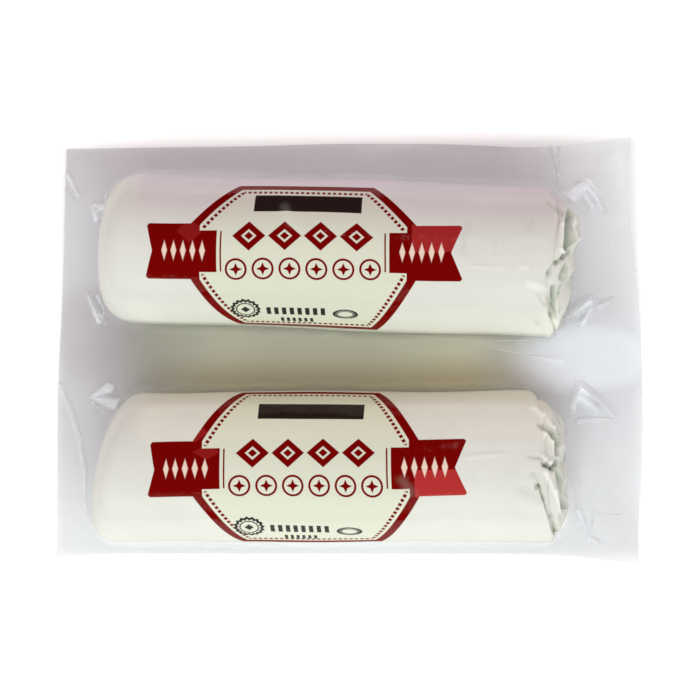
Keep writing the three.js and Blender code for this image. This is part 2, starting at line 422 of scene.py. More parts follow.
# Lift along one segment of a fold: highest on its line, and nothing at its half width from it.
def foldLift(points, first, last):
    start, end = np.array(first[:2]), np.array(last[:2])
    line = end - start
    share = np.clip(((points - start) @ line) / (line @ line), 0, 1)
    gap = np.linalg.norm(points - start - share[..., None] * line, axis=-1)
    height = first[2] + (last[2] - first[2]) * share
    halfWidth = first[3] + (last[3] - first[3]) * share
    return height * np.clip(1 - gap / halfWidth, 0, 1)


def gridNormals(grid):
    down = np.gradient(grid, axis=0)
    closed = np.concatenate([grid[:, -1:], grid, grid[:, :1]], 1)
    across = (closed[:, 2:] - closed[:, :-2]) / 2
    normals = np.cross(across, down)
    return normals / np.maximum(np.linalg.norm(normals, axis=-1, keepdims=True), 1e-9)


# The relief tree: pleats repeated round the gathered end, crumples in them, and soft lumps along the wall.
def wrapReliefTree(material):
    sizes = ("Pleats", "Pleat Depth", "Pleat Twist", "Phase", "Crumple Depth", "Lump Height", "Seed")
    book, given = newTree("wrapRelief", {**dict.fromkeys(sizes, "Float"), "Axis": "Vector"})
    gather, turn = book.stored("gather"), book.stored("turn")
    place = book.make("GeometryNodeInputPosition")
    normal = book.make("GeometryNodeInputNormal")
    wave = (given["Pleats"] * (turn + given["Pleat Twist"] * gather) + given["Phase"]) / (2 * math.pi)
    saw = abs((wave + 0.5).fraction() - 0.5) * -4 + 1
    onFold = (gather * (1 / logShape["pleatReach"])).under(1.0) * math.pi
    pleat = saw * given["Pleat Depth"] * onFold.sin()
    ridges = book.noise(place, logShape["crumpleScale"], 5.0, 0.68, "RIDGED_MULTIFRACTAL", given["Seed"])
    broad = book.noise(place, logShape["lumpScale"], 2.0, 0.5, "FBM", given["Seed"])
    crumple = (ridges * 0.5 - 0.6) * given["Crumple Depth"] * gather.step(0.0, 0.08)
    lump = (broad - 0.5) * given["Lump Height"]
    axial = book.vector("SCALE", given["Axis"], pleat)
    offset = book.vector("ADD", axial, book.vector("SCALE", normal, crumple + lump))
    moved = book.make("GeometryNodeSetPosition", None, {"Geometry": given["Geometry"], "Offset": offset})
    return closeTree(book, moved, material)


def wrappedLog(name, log, material):
    along, radii, folded, wallStart = logProfile(log)
    columns, rings = logShape["turnSteps"], len(along) - 2
    turns = -math.pi / 2 + 2 * math.pi * np.arange(columns) / columns
    grid = logSkin(log, along[:, None], radii[:, None], turns[None, :])
    normals = gridNormals(grid)
    folds = [[(*place, height, halfWidth) for place in line] for height, halfWidth, *line in log["folds"]]
    lift = sum(foldLift(grid[..., :2], *segment) for segment in segments(folds))
    lift = lift * smoothStep(axisHeight - 4, axisHeight + 3, grid[..., 2])
    grid = grid + normals * lift[..., None]
    # How much painted shade each valley of the folds gets, and how much painted shine each crest gets.
    paintedFoldShade = np.clip(-lift[1:-1] / logShape["hollowDepth"], 0, 1)
    paintedCrestShine = np.clip(lift[1:-1] / logShape["crestHeight"], 0, 1)
    points = np.concatenate([grid[1:-1].reshape(-1, 3), grid[0, :1], grid[-1, :1]])
    travel = travelAlong(along, radii)
    height = travel / travel[-1]
    faces, places = [], []
    for i, j in np.ndindex(rings - 1, columns):
        here, beside = i * columns + j, i * columns + (j + 1) % columns
        faces.append((here, beside, beside + columns, here + columns))
        low, high = height[i + 1], height[i + 2]
        left, right = j / columns, (j + 1) / columns
        places += [(left, low), (right, low), (right, high), (left, high)]
    leftPole, rightPole, last = rings * columns, rings * columns + 1, (rings - 1) * columns
    for j in range(columns):
        k = (j + 1) % columns
        left, middle, right = j / columns, (j + 0.5) / columns, (j + 1) / columns
        faces += [(leftPole, k, j), (rightPole, last + j, last + k)]
        places += [(middle, height[0]), (right, height[1]), (left, height[1])]
        places += [(middle, height[-1]), (left, height[-2]), (right, height[-2])]
    thing = meshObject(name, points, faces, material)
    uv = thing.data.uv_layers.new(name="OFBake")
    uv.uv.foreach_set("vector", np.asarray(places, np.float32).ravel())
    storeFloats(thing.data, "gather", [*np.repeat(folded[1:-1], columns), 0, 1])
    storeFloats(thing.data, "turn", [*np.tile(turns, rings), 0, 0])
    storeFloats(thing.data, "paintedFoldShade", [*paintedFoldShade.ravel(), 0, 0])
    storeFloats(thing.data, "paintedCrestShine", [*paintedCrestShine.ravel(), 0, 0])
    wallTravel = travel[logShape["capSteps"] + logShape["rimSteps"]]
    return thing, {"length": travel[-1], "shift": wallStart - wallTravel}


def dressLogs():
    shape, dressed = logShape, {}
    plain = newMaterial("wrap")[0]
    tree = wrapReliefTree(plain)
    for name, log in logs.items():
        thing, printPlace = wrappedLog(name, log, plain)
        applyTree(thing, tree, {
            "Pleats": float(log["pleats"]),
            "Pleat Depth": shape["pleatDepth"] * mm,
            "Pleat Twist": shape["pleatTwist"],
            "Phase": log["phase"],
            "Crumple Depth": shape["crumpleDepth"] * mm,
            "Lump Height": shape["lumpHeight"] * mm,
            "Seed": log["seed"],
            "Axis": (math.cos(log["turn"]), math.sin(log["turn"]), 0.0),
        })
        thing.data.set_sharp_from_angle(angle=shape["creaseAngle"])
        thing.data.materials.clear()
        thing.data.materials.append(printedWrap(name + "Print", log, printPlace))
        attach(thing, "root")
        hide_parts(log["node"])
        dressed[name] = thing
        print("wrapped log", name, len(thing.data.polygons), "faces")
    return dressed


# The pouch: two films, one over and one under, drawn tight over the logs and lying together elsewhere.

pouchShape = {
    "edges": {  # a straight side, and bulges as place, width and how far out
        "top": (68.8, [(64, 20, -1.8), (98, 14, 1.2)]),
        "bottom": (-66.4, [(-97, 12, -1.2), (98, 20, -3.2)]),
        "left": (-96.4, [(60, 50, 2.1)]),
        "right": (96.4, [(52, 30, -3.8), (-62, 20, -1.8)]),
    },
    "height": 22.4,
    "droop": 3.2,
    "droopReach": 26.0,
    "ripples": [(0.9, 17, 41, 0.0), (0.7, -37, 13, 1.2), (0.5, 9, 9, 0.5)],
    "filmGap": 0.12,  # from the sheet's middle to each film
    "skinGap": 0.3,  # between a log's wrap and the film over it
    "floorGap": 0.02,
    "leaveHeight": 4.2,  # where the film leaves a log, above or below the log's middle
    "reach": 4.0,  # how far out it meets the other film
    "reachWave": 1.1,
    "reachWaves": [(0.6, 5, 1), (0.4, 13, 2)],  # share, waves round the log, and shares of its phase
    "edgeShare": 0.64,  # and at most this share of the way to the pouch's edge
    "loopPasses": 6,
    "normalPasses": 8,
    "slopeRows": 7,
    "slopePower": 2.3,
    "haze": (-0.6, 0.8),  # shares of the slope between which the film turns milky
    "foldHaze": 0.9,  # how much milkier a fold is, at its most, and the height that has it
    "foldHazeHeight": 2.4,
    "foldShare": {1: 1.0, -1: 0.86},  # of a fold's height, in the upper film and the lower one
    "skinRows": 48,
    "skinSpacing": 1.5,
    "castFrom": 6.0,  # rays that find the wrap start this far out of it
    "castLean": 16.0,  # and further past its ends, near their middles
    "castLimit": 3.0,
    "tautPasses": 14,
    "spacing": 1.0,
    "rowShare": 0.87,
    "jitter": 0.16,
    "edgeSpacing": 1.2,
    "edgeClear": 0.55,
    "foldSpacing": 0.9,
    "foldClear": 0.5,
    "pointClear": 0.45,
    "foldWidthShare": 0.98,
    "creaseAngle": math.radians(24),
}

# Folds of the film, each a line of places in plan with the height and half width there.
filmFolds = [
    [(-93.4, 59.0, 1.4, 1.9), (-90.2, 52.8, 0.9, 1.5)],
    [(-94.4, 54.6, 0.9, 1.3), (-91.4, 50.4, 0.5, 1.0)],
    [(-78.6, 48.0, 3.4, 2.6), (-80.4, 54.4, 0.6, 1.0)],
    [(-78.8, 46.6, 3.6, 2.8), (-84.6, 49.2, 1.2, 1.4), (-83.4, 44.6, 2.2, 1.8)],
    [(-73.4, 57.0, 0.6, 1.0), (-72.8, 53.6, 1.8, 1.8)],
    [(-86.4, 19.6, 0.9, 1.2), (-82.2, 10.2, 1.9, 1.8)],
    [(-82.6, 18.2, 1.6, 1.5), (-79.2, 14.4, 2.4, 1.8)],
    [(-84.8, 12.8, 0.6, 1.0), (-80.6, 12.2, 1.6, 1.4)],
    [(-84.6, -14.8, 0.8, 1.2), (-78.4, -12.2, 3.2, 2.4)],
    [(-84.6, -14.8, 1.0, 1.4), (-76.2, -17.6, 3.4, 2.6)],
    [(-84.2, -16.4, 1.2, 1.2), (-82.2, -20.6, 0.4, 0.8)],
    [
        (-95.2, -10.9, 1.1, 1.2), (-91.7, -19.4, 1.8, 1.3), (-88.4, -29.1, 2.0, 1.4),
        (-86.4, -40.1, 1.9, 1.2), (-86.8, -49.0, 1.6, 1.1), (-83.8, -56.6, 0.5, 0.8),
    ],
    [(68.3, 68.2, 1.6, 2.3), (69.7, 57.0, 0.9, 0.8), (70.8, 49.4, 1.2, 1.8)],
    [(73.6, 48.6, 3.6, 3.2), (79.2, 54.2, 2.6, 2.6), (85.4, 44.0, 0.4, 1.2)],
    [(77.2, 51.8, 2.0, 1.8), (80.6, 46.8, 2.4, 1.6)],
    [(70.2, 8.6, 1.8, 1.8), (79.2, 15.2, 2.6, 2.4)],
    [(77.6, 8.8, 2.0, 1.6), (79.8, 13.0, 1.4, 1.4)],
    [(83.2, 14.0, 1.6, 1.8), (87.0, 16.4, 0.6, 1.0)],
    [(73.6, -20.0, 1.8, 2.4), (76.4, -12.8, 2.0, 2.4), (82.4, -17.0, 1.1, 2.0), (88.0, -22.6, 0.3, 0.8)],
    [(76.2, -15.6, 2.2, 3.8), (81.4, -19.8, 1.3, 2.8)],
    [(75.8, -23.2, 0.8, 1.4), (87.2, -23.0, 0.3, 0.8)],
    [(75.2, -52.2, 1.4, 1.8), (78.4, -60.2, 0.6, 1.2)],
    [(78.6, -61.2, 1.2, 1.2), (81.8, -62.4, 0.8, 1.0)],
    [(43.0, 2.4, 0.3, 1.2), (70.0, -4.4, 0.7, 1.8)],
]


def edgeAt(name, along):
    base, bulges = pouchShape["edges"][name]
    return base + sum(out * bump(along, at, width) for at, width, out in bulges)


def pouchOutline():
    top, bottom, left, right = (pouchShape["edges"][name][0] for name in ("top", "bottom", "left", "right"))
    wide = int((right - left) / pouchShape["edgeSpacing"])
    deep = int((top - bottom) / pouchShape["edgeSpacing"])
    ends = np.linspace(0, 1, wide + 1)[:-1]
    rise = np.linspace(0, 1, deep + 1)[:-1]
    sides = []
    for edge, share in (("bottom", ends), ("top", 1 - ends)):
        y = edgeAt(edge, left + (right - left) * share)
        x = edgeAt("left", y) * (1 - share) + edgeAt("right", y) * share
        sides.append(np.stack([x, y], 1))
    for edge, x, ascends in (("right", right, True), ("left", left, False)):
        first, last = edgeAt("bottom", x), edgeAt("top", x)
        if not ascends:
            first, last = last, first
        y = first + (last - first) * rise
        sides.append(np.stack([edgeAt(edge, y), y], 1))
    bottomSide, topSide, rightSide, leftSide = sides
    return np.concatenate([bottomSide, rightSide, topSide, leftSide])


def sheetMiddle(points):
    x, y = points[..., 0] - packShift[0], points[..., 1] - packShift[1]
    gaps = [edgeAt("top", x) - y, y - edgeAt("bottom", x), x - edgeAt("left", y), edgeAt("right", y) - x]
    droopAndHighlightShare = 1 - smoothStep(0, pouchShape["droopReach"], np.min(gaps, 0))
    wave = sum(
        height * np.sin(x / alongX + y / alongY + phase)
        for height, alongX, alongY, phase in pouchShape["ripples"]
    )
    return pouchShape["height"] - pouchShape["droop"] * droopAndHighlightShare ** 2 + wave * droopAndHighlightShare


def foldsAt(points):
    total = np.zeros(points.shape[:-1])
    for segment in segments(filmFolds):
        total = np.maximum(total, foldLift(points, *segment))
    return total


def insideLoop(points, loop):
    inside = np.zeros(len(points), bool)
    following = np.roll(loop, -1, 0)
    for (x0, y0), (x1, y1) in zip(loop, following):
        crosses = (y0 > points[:, 1]) != (y1 > points[:, 1])
        if crosses.any():
            at = x0 + (points[:, 1] - y0) * (x1 - x0) / (y1 - y0 if y1 != y0 else 1e-9)
            inside ^= crosses & (points[:, 0] < at)
    return inside


def gapTo(points, loop):
    gap = np.full(len(points), 1e9)
    for start, end in zip(loop, np.roll(loop, -1, 0)):
        line = end - start
        share = np.clip(((points - start) @ line) / max(line @ line, 1e-9), 0, 1)
        gap = np.minimum(gap, np.linalg.norm(points - start - share[:, None] * line, axis=1))
    return gap


def smoothLoop(loop, passes):
    for _ in range(passes):
        loop = (np.roll(loop, 1, 0) + 2 * loop + np.roll(loop, -1, 0)) / 4
    return loop


# The stations of a log that the film touches: those where its end is wider than the leave height.
def filmStations(log):
    along, radii, _, _ = logProfile(log)
    leave = pouchShape["leaveHeight"]
    travel = travelAlong(along, radii)
    middle = len(radii) // 2
    first = np.interp(leave, radii[:middle], travel[:middle])
    last = np.interp(-leave, -radii[middle:], travel[middle:])
    places = np.linspace(first, last, int((last - first) / pouchShape["skinSpacing"]))
    reached = np.interp(places, travel, radii)
    reached[[0, -1]] = leave
    return np.interp(places, travel, along), reached


def spread(grid, passes, held=None):
    for _ in range(passes):
        wide = np.pad(grid, 1, mode="edge")
        grid = (2 * grid + wide[:-2, 1:-1] + wide[2:, 1:-1] + wide[1:-1, :-2] + wide[1:-1, 2:]) / 6
        if held is not None:
            grid = np.maximum(grid, held)
    return grid


# The film over one half of a log: tight over what stands proud of the wrap, and straight across its hollows.
def filmOver(log, tree, side):
    along, radii = filmStations(log)
    leaveTurn = np.arcsin(np.clip(pouchShape["leaveHeight"] / radii, 0, 1))
    share = np.linspace(0, 1, pouchShape["skinRows"] + 1)
    turns = side * (leaveTurn[:, None] + (math.pi - 2 * leaveTurn)[:, None] * share[None, :])
    base = logSkin(log, along[:, None], radii[:, None], turns)
    proud = logSkin(log, along[:, None], radii[:, None], turns, pouchShape["castFrom"])
    endward = np.array([math.cos(log["turn"]), math.sin(log["turn"]), 0.0])
    lean = (1 - radii / logShape["radius"]) * pouchShape["castLean"] * np.sign(along)
    proud = proud + lean[:, None, None] * endward
    outward = proud - base
    outward = outward / np.linalg.norm(outward, axis=-1, keepdims=True)
    found = np.zeros(base.shape[:2])
    for i, j in np.ndindex(found.shape):
        hit, _, _, _ = tree.ray_cast(Vector(proud[i, j] * mm), Vector(-outward[i, j]))
        if hit is not None:
            found[i, j] = (np.array(hit) / mm - base[i, j]) @ outward[i, j]
    found = np.clip(found, -pouchShape["castLimit"], pouchShape["castLimit"])
    found = spread(spread(found, pouchShape["tautPasses"], found), 1)
    skin = base + (found + pouchShape["skinGap"])[..., None] * outward
    skin[..., 2] = np.maximum(skin[..., 2], pouchShape["floorGap"])
    return skin


def unitRows(vectors):
    return vectors / np.linalg.norm(vectors, axis=1, keepdims=True)


def holeLoop(log, outline):
    shape = pouchShape
    along, radii = filmStations(log)
    across = np.sqrt(np.maximum(radii ** 2 - shape["leaveHeight"] ** 2, 0))
    side = np.concatenate([along, along[-2:0:-1]])
    cross = np.concatenate([across, -across[-2:0:-1]])
    loop = np.stack(toPlan(log, side + leanAt(log, side, cross), cross), 1)
    loop = smoothLoop(loop, shape["loopPasses"])
    ahead = np.roll(loop, -1, 0) - np.roll(loop, 1, 0)
    normals = np.stack([-ahead[:, 1], ahead[:, 0]], 1)
    normals = unitRows(smoothLoop(unitRows(normals), shape["normalPasses"]))
    angle = np.arctan2(*(loop - loop.mean(0)).T)
    wave = sum(
        share * np.sin(count * angle + turns * log["phase"])
        for share, count, turns in shape["reachWaves"]
    )
    reach = shape["reach"] + shape["reachWave"] * wave
    reach = np.minimum(reach, shape["edgeShare"] * gapTo(loop, outline))
    return loop + normals * reach[:, None]


# Inside the outline, outside the holes, and further from both than the gap.
def onFlange(points, outline, holes, gap=0.0):
    clear = insideLoop(points, outline)
    for hole in holes:
        clear &= ~insideLoop(points, hole)
    for loop in (outline, *holes) if gap else ():
        clear[clear] = gapTo(points[clear], loop) > gap
    return clear


def flangePoints(outline, holes):
    spacing, jitter = pouchShape["spacing"], pouchShape["jitter"]
    low, high = outline.min(0), outline.max(0)
    columns = np.arange(low[0], high[0], spacing)
    rows = np.arange(low[1], high[1], spacing * pouchShape["rowShare"])
    x, y = np.meshgrid(columns, rows)
    x = x + (np.arange(len(rows)) % 2)[:, None] * spacing / 2
    points = np.stack([x.ravel(), y.ravel()], 1) + rng.uniform(-jitter, jitter, (x.size, 2))
    return points[onFlange(points, outline, holes, pouchShape["edgeClear"] * spacing)]


# Straight edges along the folds, so that they stay crisp, kept clear of the loops.
def foldLines(outline, holes):
    shape = pouchShape
    points, edges = [], []
    for first, last in segments(filmFolds):
        start, end = np.array(first[:2]), np.array(last[:2])
        line = end - start
        long = np.linalg.norm(line)
        side = np.array([-line[1], line[0]]) / long
        share = np.linspace(0, 1, max(3, int(long / shape["foldSpacing"])))[:, None]
        wide = first[3] + (last[3] - first[3]) * share
        for place in (-1, 0, 1):
            track = start + line * share + side * wide * place * shape["foldWidthShare"]
            clear = onFlange(track, outline, holes, shape["foldClear"])
            number = len(points)
            points += track.tolist()
            edges += [(number + k, number + k + 1) for k in np.flatnonzero(clear[:-1] & clear[1:]).tolist()]
    used = sorted({k for edge in edges for k in edge})
    order = {k: i for i, k in enumerate(used)}
    return np.array([points[k] for k in used]), [(order[a], order[b]) for a, b in edges]


def triangulate(outline, holes):
    loops = [outline, *holes]
    points, edges, starts = [], [], []
    for loop in loops:
        first = len(points)
        starts.append(first)
        points += loop.tolist()
        edges += [(first + k, first + (k + 1) % len(loop)) for k in range(len(loop))]
    fixed = len(points)
    lines, lineEdges = foldLines(outline, holes)
    edges += [(fixed + a, fixed + b) for a, b in lineEdges]
    inner = flangePoints(outline, holes)
    for point in lines:
        inner = inner[np.linalg.norm(inner - point, axis=1) > pouchShape["pointClear"]]
    points += lines.tolist() + inner.tolist()
    found = delaunay_2d_cdt([Vector(point) for point in points], edges, [], 0, 1e-6)
    vertices, faces = np.array([tuple(vertex) for vertex in found[0]]), np.array(found[2])
    origin = {k: i for i, group in enumerate(found[3]) for k in group}
    rims = [[origin[start + k] for k in range(len(loop))] for start, loop in zip(starts, loops)]
    return vertices, faces[onFlange(vertices[faces].mean(1), outline, holes)], rims


def addPoints(film, points, veil):
    film["points"] += points.tolist()
    film["veil"] += veil.tolist()


def milkOf(lift):
    return 1 + pouchShape["foldHaze"] * np.minimum(lift / pouchShape["foldHazeHeight"], 1)


# The film over half a log, drawn to a point at each end. Its rim is given back.
def addSkin(film, skin, side):
    stations, rows = skin.shape[:2]
    number = len(film["points"]) + np.arange(stations * rows).reshape(stations, rows)
    for end in (0, -1):
        number[end] = number[end, 0]
        skin[end, 0] = skin[end].mean(0)
    addPoints(film, skin.reshape(-1, 3), np.zeros(stations * rows))
    for i, j in np.ndindex(stations - 1, rows - 1):
        corner = (number[i, j], number[i + 1, j], number[i + 1, j + 1], number[i, j + 1])[::-side]
        film["faces"].append(tuple(dict.fromkeys(int(k) for k in corner)))
    rim = np.concatenate([number[:, 0], number[-2:0:-1, -1]]).tolist()
    for k in rim:
        film["veil"][k] = float(smoothStep(*pouchShape["haze"], 0))
    return rim


# The film's slope from the rim of a skin down, or up, to the flat sheet.
def addSlope(film, inner, outer, side):
    shape = pouchShape
    rows = shape["slopeRows"]
    start, end = (np.array([film["points"][k] for k in rim]) for rim in (inner, outer))
    previous = inner
    for row in range(1, rows + 1):
        share, current = row / rows, outer
        if row < rows:
            plan = start[:, :2] + (end[:, :2] - start[:, :2]) * share
            low = sheetMiddle(plan) + side * shape["filmGap"]
            rise = (start[:, 2] - low) * (1 - share) ** shape["slopePower"]
            lift = foldsAt(plan) * min(1, 2 * share) * shape["foldShare"][side]
            first = len(film["points"])
            current = list(range(first, first + len(plan)))
            veil = smoothStep(*shape["haze"], share) * milkOf(lift)
            addPoints(film, np.column_stack([plan, low + rise + lift]), veil)
        for k in range(len(current)):
            n = (k + 1) % len(current)
            film["faces"].append((previous[k], current[k], current[n], previous[n])[::-side])
        previous = current


def clearPouch(dressed, material):
    shape = pouchShape
    outline = pouchOutline() + packShift
    holes = [holeLoop(log, outline) for log in logs.values()]
    flat, faces, (edge, *rims) = triangulate(outline, holes)
    film = {"points": [], "veil": [], "faces": []}
    lift = foldsAt(flat)
    below = len(flat)  # the lower film's first point
    for side, first in ((1, 0), (-1, below)):
        height = sheetMiddle(flat) + side * shape["filmGap"] + lift * shape["foldShare"][side]
        addPoints(film, np.column_stack([flat, height]), milkOf(lift))
        film["faces"] += [tuple(first + k for k in face[::side]) for face in faces]
    film["faces"] += [(a, below + a, below + b, b) for a, b in zip(edge, edge[1:] + edge[:1])]
    for (name, log), rim in zip(logs.items(), rims):
        tree = BVHTree.FromObject(dressed[name], bpy.context.evaluated_depsgraph_get())
        for side, first in ((1, 0), (-1, below)):
            inner = addSkin(film, filmOver(log, tree, side), side)
            addSlope(film, inner, [first + k for k in rim], side)
    thing = meshObject("clearPouch", film["points"], film["faces"], material)
    storeFloats(thing.data, "veil", film["veil"])
    closeSeams(thing.data)
    thing.data.set_sharp_from_angle(angle=shape["creaseAngle"])
    print("pouch", len(thing.data.polygons), "faces")
    return thing


def closeSeams(mesh):
    work = bmesh.new()
    work.from_mesh(mesh)
    droopAndHighlightShare = [vertex for vertex in work.verts if not vertex.link_faces]
    bmesh.ops.delete(work, geom=droopAndHighlightShare, context="VERTS")
    bmesh.ops.remove_doubles(work, verts=work.verts, dist=1e-6)
    bmesh.ops.recalc_face_normals(work, faces=work.faces)
    print("open or crowded edges:", sum(not edge.is_manifold for edge in work.edges))
    work.to_mesh(mesh)
    work.free()


# Creases: thin raised lines where the film is pinched, each a path of places in plan with its half width.

creaseShape = {
    "paths": [
        (0.34, [
            (-95.4, -10.6), (-92.6, -17.0), (-90.2, -24.6), (-88.0, -31.0), (-86.2, -40.0), (-86.0, -46.0),
        ]),
        (0.30, [(-84.8, -14.8), (-81.2, -13.4), (-78.4, -12.6)]),
        (0.28, [(-84.4, -15.6), (-80.8, -16.9), (-76.6, -17.9)]),
        (0.26, [(-84.2, -15.8), (-82.6, -18.2), (-82.0, -20.2)]),
        (0.34, [(-80.4, 54.0), (-79.6, 50.2), (-78.8, 47.6)]),
        (0.30, [(-85.2, 49.2), (-82.4, 47.0), (-80.2, 45.6)]),
        (0.26, [(-84.6, 46.0), (-83.0, 47.8), (-82.2, 49.6)]),
        (0.30, [(-86.2, 19.4), (-82.6, 14.6), (-79.4, 8.4)]),
        (0.26, [(-81.6, 19.0), (-80.4, 15.0), (-80.6, 11.6)]),
        (0.42, [(67.6, 68.0), (68.6, 64.0), (69.3, 60.0), (69.7, 56.4)]),
        (0.30, [(69.6, 68.0), (69.6, 63.6), (69.6, 59.0)]),
        (0.30, [(73.6, 54.0), (78.6, 54.8), (82.0, 50.0), (85.8, 44.2)]),
        (0.32, [(77.0, 50.6), (78.4, 47.4), (80.2, 45.4)]),
        (0.30, [(84.6, 46.6), (85.4, 44.4), (82.4, 43.8)]),
        (0.30, [(70.2, 8.2), (74.6, 11.4), (79.4, 15.6)]),
        (0.28, [(77.2, 12.6), (78.2, 9.8), (79.6, 7.6)]),
        (0.30, [(82.8, 14.2), (85.4, 14.6), (87.4, 16.6)]),
        (0.26, [(74.6, -15.4), (76.6, -12.6), (80.4, -15.8), (84.4, -20.6)]),
        (0.20, [(79.4, -22.8), (87.6, -23.2)]),
        (0.30, [(79.2, -50.8), (80.0, -54.8), (79.4, -58.8)]),
        (0.28, [(78.8, -61.4), (81.8, -62.6)]),
        (0.20, [(46.0, 0.4), (56.0, -1.4), (70.0, -3.6)]),
        (0.16, [(45.0, 2.4), (58.0, 2.6), (72.0, 3.0)]),
        (0.16, [(-88.0, 14.8), (-84.0, 15.4), (-78.0, 14.6)]),
        (0.18, [(80.2, -53.4), (86.0, -54.0), (90.4, -53.6)]),
    ],
    "pathSpacing": 0.8,
    "spacing": 0.55,
    "sides": 8,
    "flatness": 0.62,  # height of a crease against its width
    "waver": 0.4,
}


def creaseTree(material):
    sizes = {"Spacing": "Float", "Waver": "Float", "Flatness": "Float", "Sides": "Int"}
    book, given = newTree("filmCrease", sizes)
    place = book.make("GeometryNodeInputPosition")
    lines = book.make("GeometryNodeMeshToCurve", None, {"Mesh": given["Geometry"]})
    pace = {"Curve": lines, "Length": given["Spacing"]}
    steps = book.make("GeometryNodeResampleCurve", {"mode": "LENGTH"}, pace)
    along = book.make("GeometryNodeSplineParameter")
    taper = (along * math.pi).sin() ** 0.6
    uneven = book.noise(place, 420.0, 2.0) * 0.9 + 0.55
    sway = book.make("ShaderNodeTexNoise", None, {"Vector": place, "Scale": 160.0}, "Color")
    level = book.vector("MULTIPLY", book.vector("SUBTRACT", sway, (0.5, 0.5, 0.5)), (1.0, 1.0, 0.0))
    swung = book.vector("SCALE", level, given["Waver"])
    moved = book.make("GeometryNodeSetPosition", None, {"Geometry": steps, "Offset": swung})
    ring = book.make("GeometryNodeCurvePrimitiveCircle", None, {"Resolution": given["Sides"], "Radius": 1.0})
    squat = book.make("ShaderNodeCombineXYZ", None, {0: 1.0, 1: given["Flatness"], 2: 1.0})
    profile = book.make("GeometryNodeTransform", None, {"Geometry": ring, "Scale": squat})
    width = book.stored("width") * taper * uneven
    sweep = {"Curve": moved, "Profile Curve": profile, "Fill Caps": True, "Scale": width}
    return closeTree(book, book.make("GeometryNodeCurveToMesh", None, sweep), material)


# Each path is laid on the film from above, so that it follows the folds.
def filmCreases(pouch, material):
    shape = creaseShape
    ground = BVHTree.FromObject(pouch, bpy.context.evaluated_depsgraph_get())
    points, edges, widths = [], [], []
    for halfWidth, path in shape["paths"]:
        path = np.array(path)
        travel = travelAlong(*path.T)
        places = np.linspace(0, travel[-1], max(4, int(travel[-1] / shape["pathSpacing"])))
        first = len(points)
        for x, y in zip(np.interp(places, travel, path[:, 0]), np.interp(places, travel, path[:, 1])):
            hit = ground.ray_cast(Vector((x * mm, y * mm, 0.1)), Vector((0, 0, -1)))[0]
            height = hit.z / mm if hit is not None else sheetMiddle(np.array([x, y]))
            points.append((x, y, height))
            widths.append(halfWidth * mm)
        edges += [(k, k + 1) for k in range(first, len(points) - 1)]
    thing = meshObject("filmCreases", points, [], material, edges)
    storeFloats(thing.data, "width", widths)
    applyTree(thing, creaseTree(material), {
        "Spacing": shape["spacing"] * mm,
        "Waver": shape["waver"] * mm,
        "Flatness": shape["flatness"],
        "Sides": shape["sides"],
    })
    thing.data.shade_smooth()
    print("creases", len(thing.data.polygons), "faces")
    return thing


# Print on the wrap. It is drawn from distances to plain shapes: below 0 is inside a shape.

printShape = {
    "sideAt": 36.0,
    "bottomAt": 33.5,
    "slant": 0.563,  # of the lower half's edges
    "slantFrom": 9.0,
    "border": 2.6,
    "stitchGap": 1.0,
    "stitchWidth": 1.1,
    "stitchPitch": 1.72,
    "stitchShare": 0.62,
    "tabHalf": 9.0,
    "tabStart": 33.0,
    "tabEnd": 51.0,
    "notch": (2.4, 3.9),  # depth at the left tab and at the right one
    "bandHalf": 6.6,
    "bandStart": 27.4,
    "pinAt": 26.1,
    "pinHalf": 0.26,
    "clearRoom": 0.7,  # round a band, where no stitches run
    "clearStart": 25.4,
    "clearEnd": 33.4,
    "plate": (1.2, 17.2, 3.4),  # place along, half length and half height
    "lozenges": (0.0, 11.4, 4),  # rows of marks: their middle, pitch and count
    "rings": (0.0, 8.5, 6),
    "bars": (-3.0, 2.5, 8),
    "smallBars": (-3.0, 1.9, 6),
    "leftMarks": (-38.2, 3.1, 5),
    "rightMarks": (37.8, 3.1, 5),
    "stampAt": -19.2,
    "ovalAt": 12.9,
    "edgeSoft": 0.11,
    "inkSoft": 0.14,
    "waver": 1.6,
}
printColours = {
    "paper": (0.715, 0.705, 0.655),
    "cream": (0.678, 0.683, 0.568),
    "red": (0.170, 0.0012, 0.0008),
    "redHighlight": (0.420, 0.030, 0.030),  # painted highlight on the red, where light glints off the film
    "paintedFoldShade": (0.405, 0.445, 0.365),
    "paintedCrestShine": (0.88, 0.89, 0.85),
    "plate": (0.022, 0.012, 0.010),
    "ink": (0.022, 0.026, 0.020),
    "ribbonMark": (0.80, 0.62, 0.52),
}


class PrintSheet:
    def __init__(self, book, u, v):
        self.book, self.u, self.v = book, u, v

    def inside(self, distance, soft=printShape["edgeSoft"]):
        return 1 - distance.step(-soft, soft)

    def box(self, u, v, halfU, halfV, skew=0.0):
        across = abs(self.u - u - (self.v - v) * skew) - halfU
        return across.over(abs(self.v - v) - halfV)

    def lozenge(self, u, v, halfU, halfV):
        size = 1 / math.hypot(1 / halfU, 1 / halfV)
        return (abs(self.u - u) * (1 / halfU) + abs(self.v - v) * (1 / halfV) - 1) * size

    def oval(self, u, v, halfU, halfV):
        across, up = (self.u - u) * (1 / halfU), (self.v - v) * (1 / halfV)
        return ((across * across + up * up) ** 0.5 - 1) * min(halfU, halfV)

    # What draw makes at each of several equal places in a row, with u measured from that place's middle.
    def row(self, middle, pitch, count, draw):
        half = pitch * count / 2
        index = ((self.u - (middle - half)) / pitch).floor().clamp(0, count - 1)
        place = PrintSheet(self.book, self.u - (middle - half) - (index + 0.5) * pitch, self.v)
        return draw(place).over(abs(self.u - middle) - half)


def lineInside(edge, half):  # a line that runs along the inside of a shape's edge
    return abs(edge + half) - half


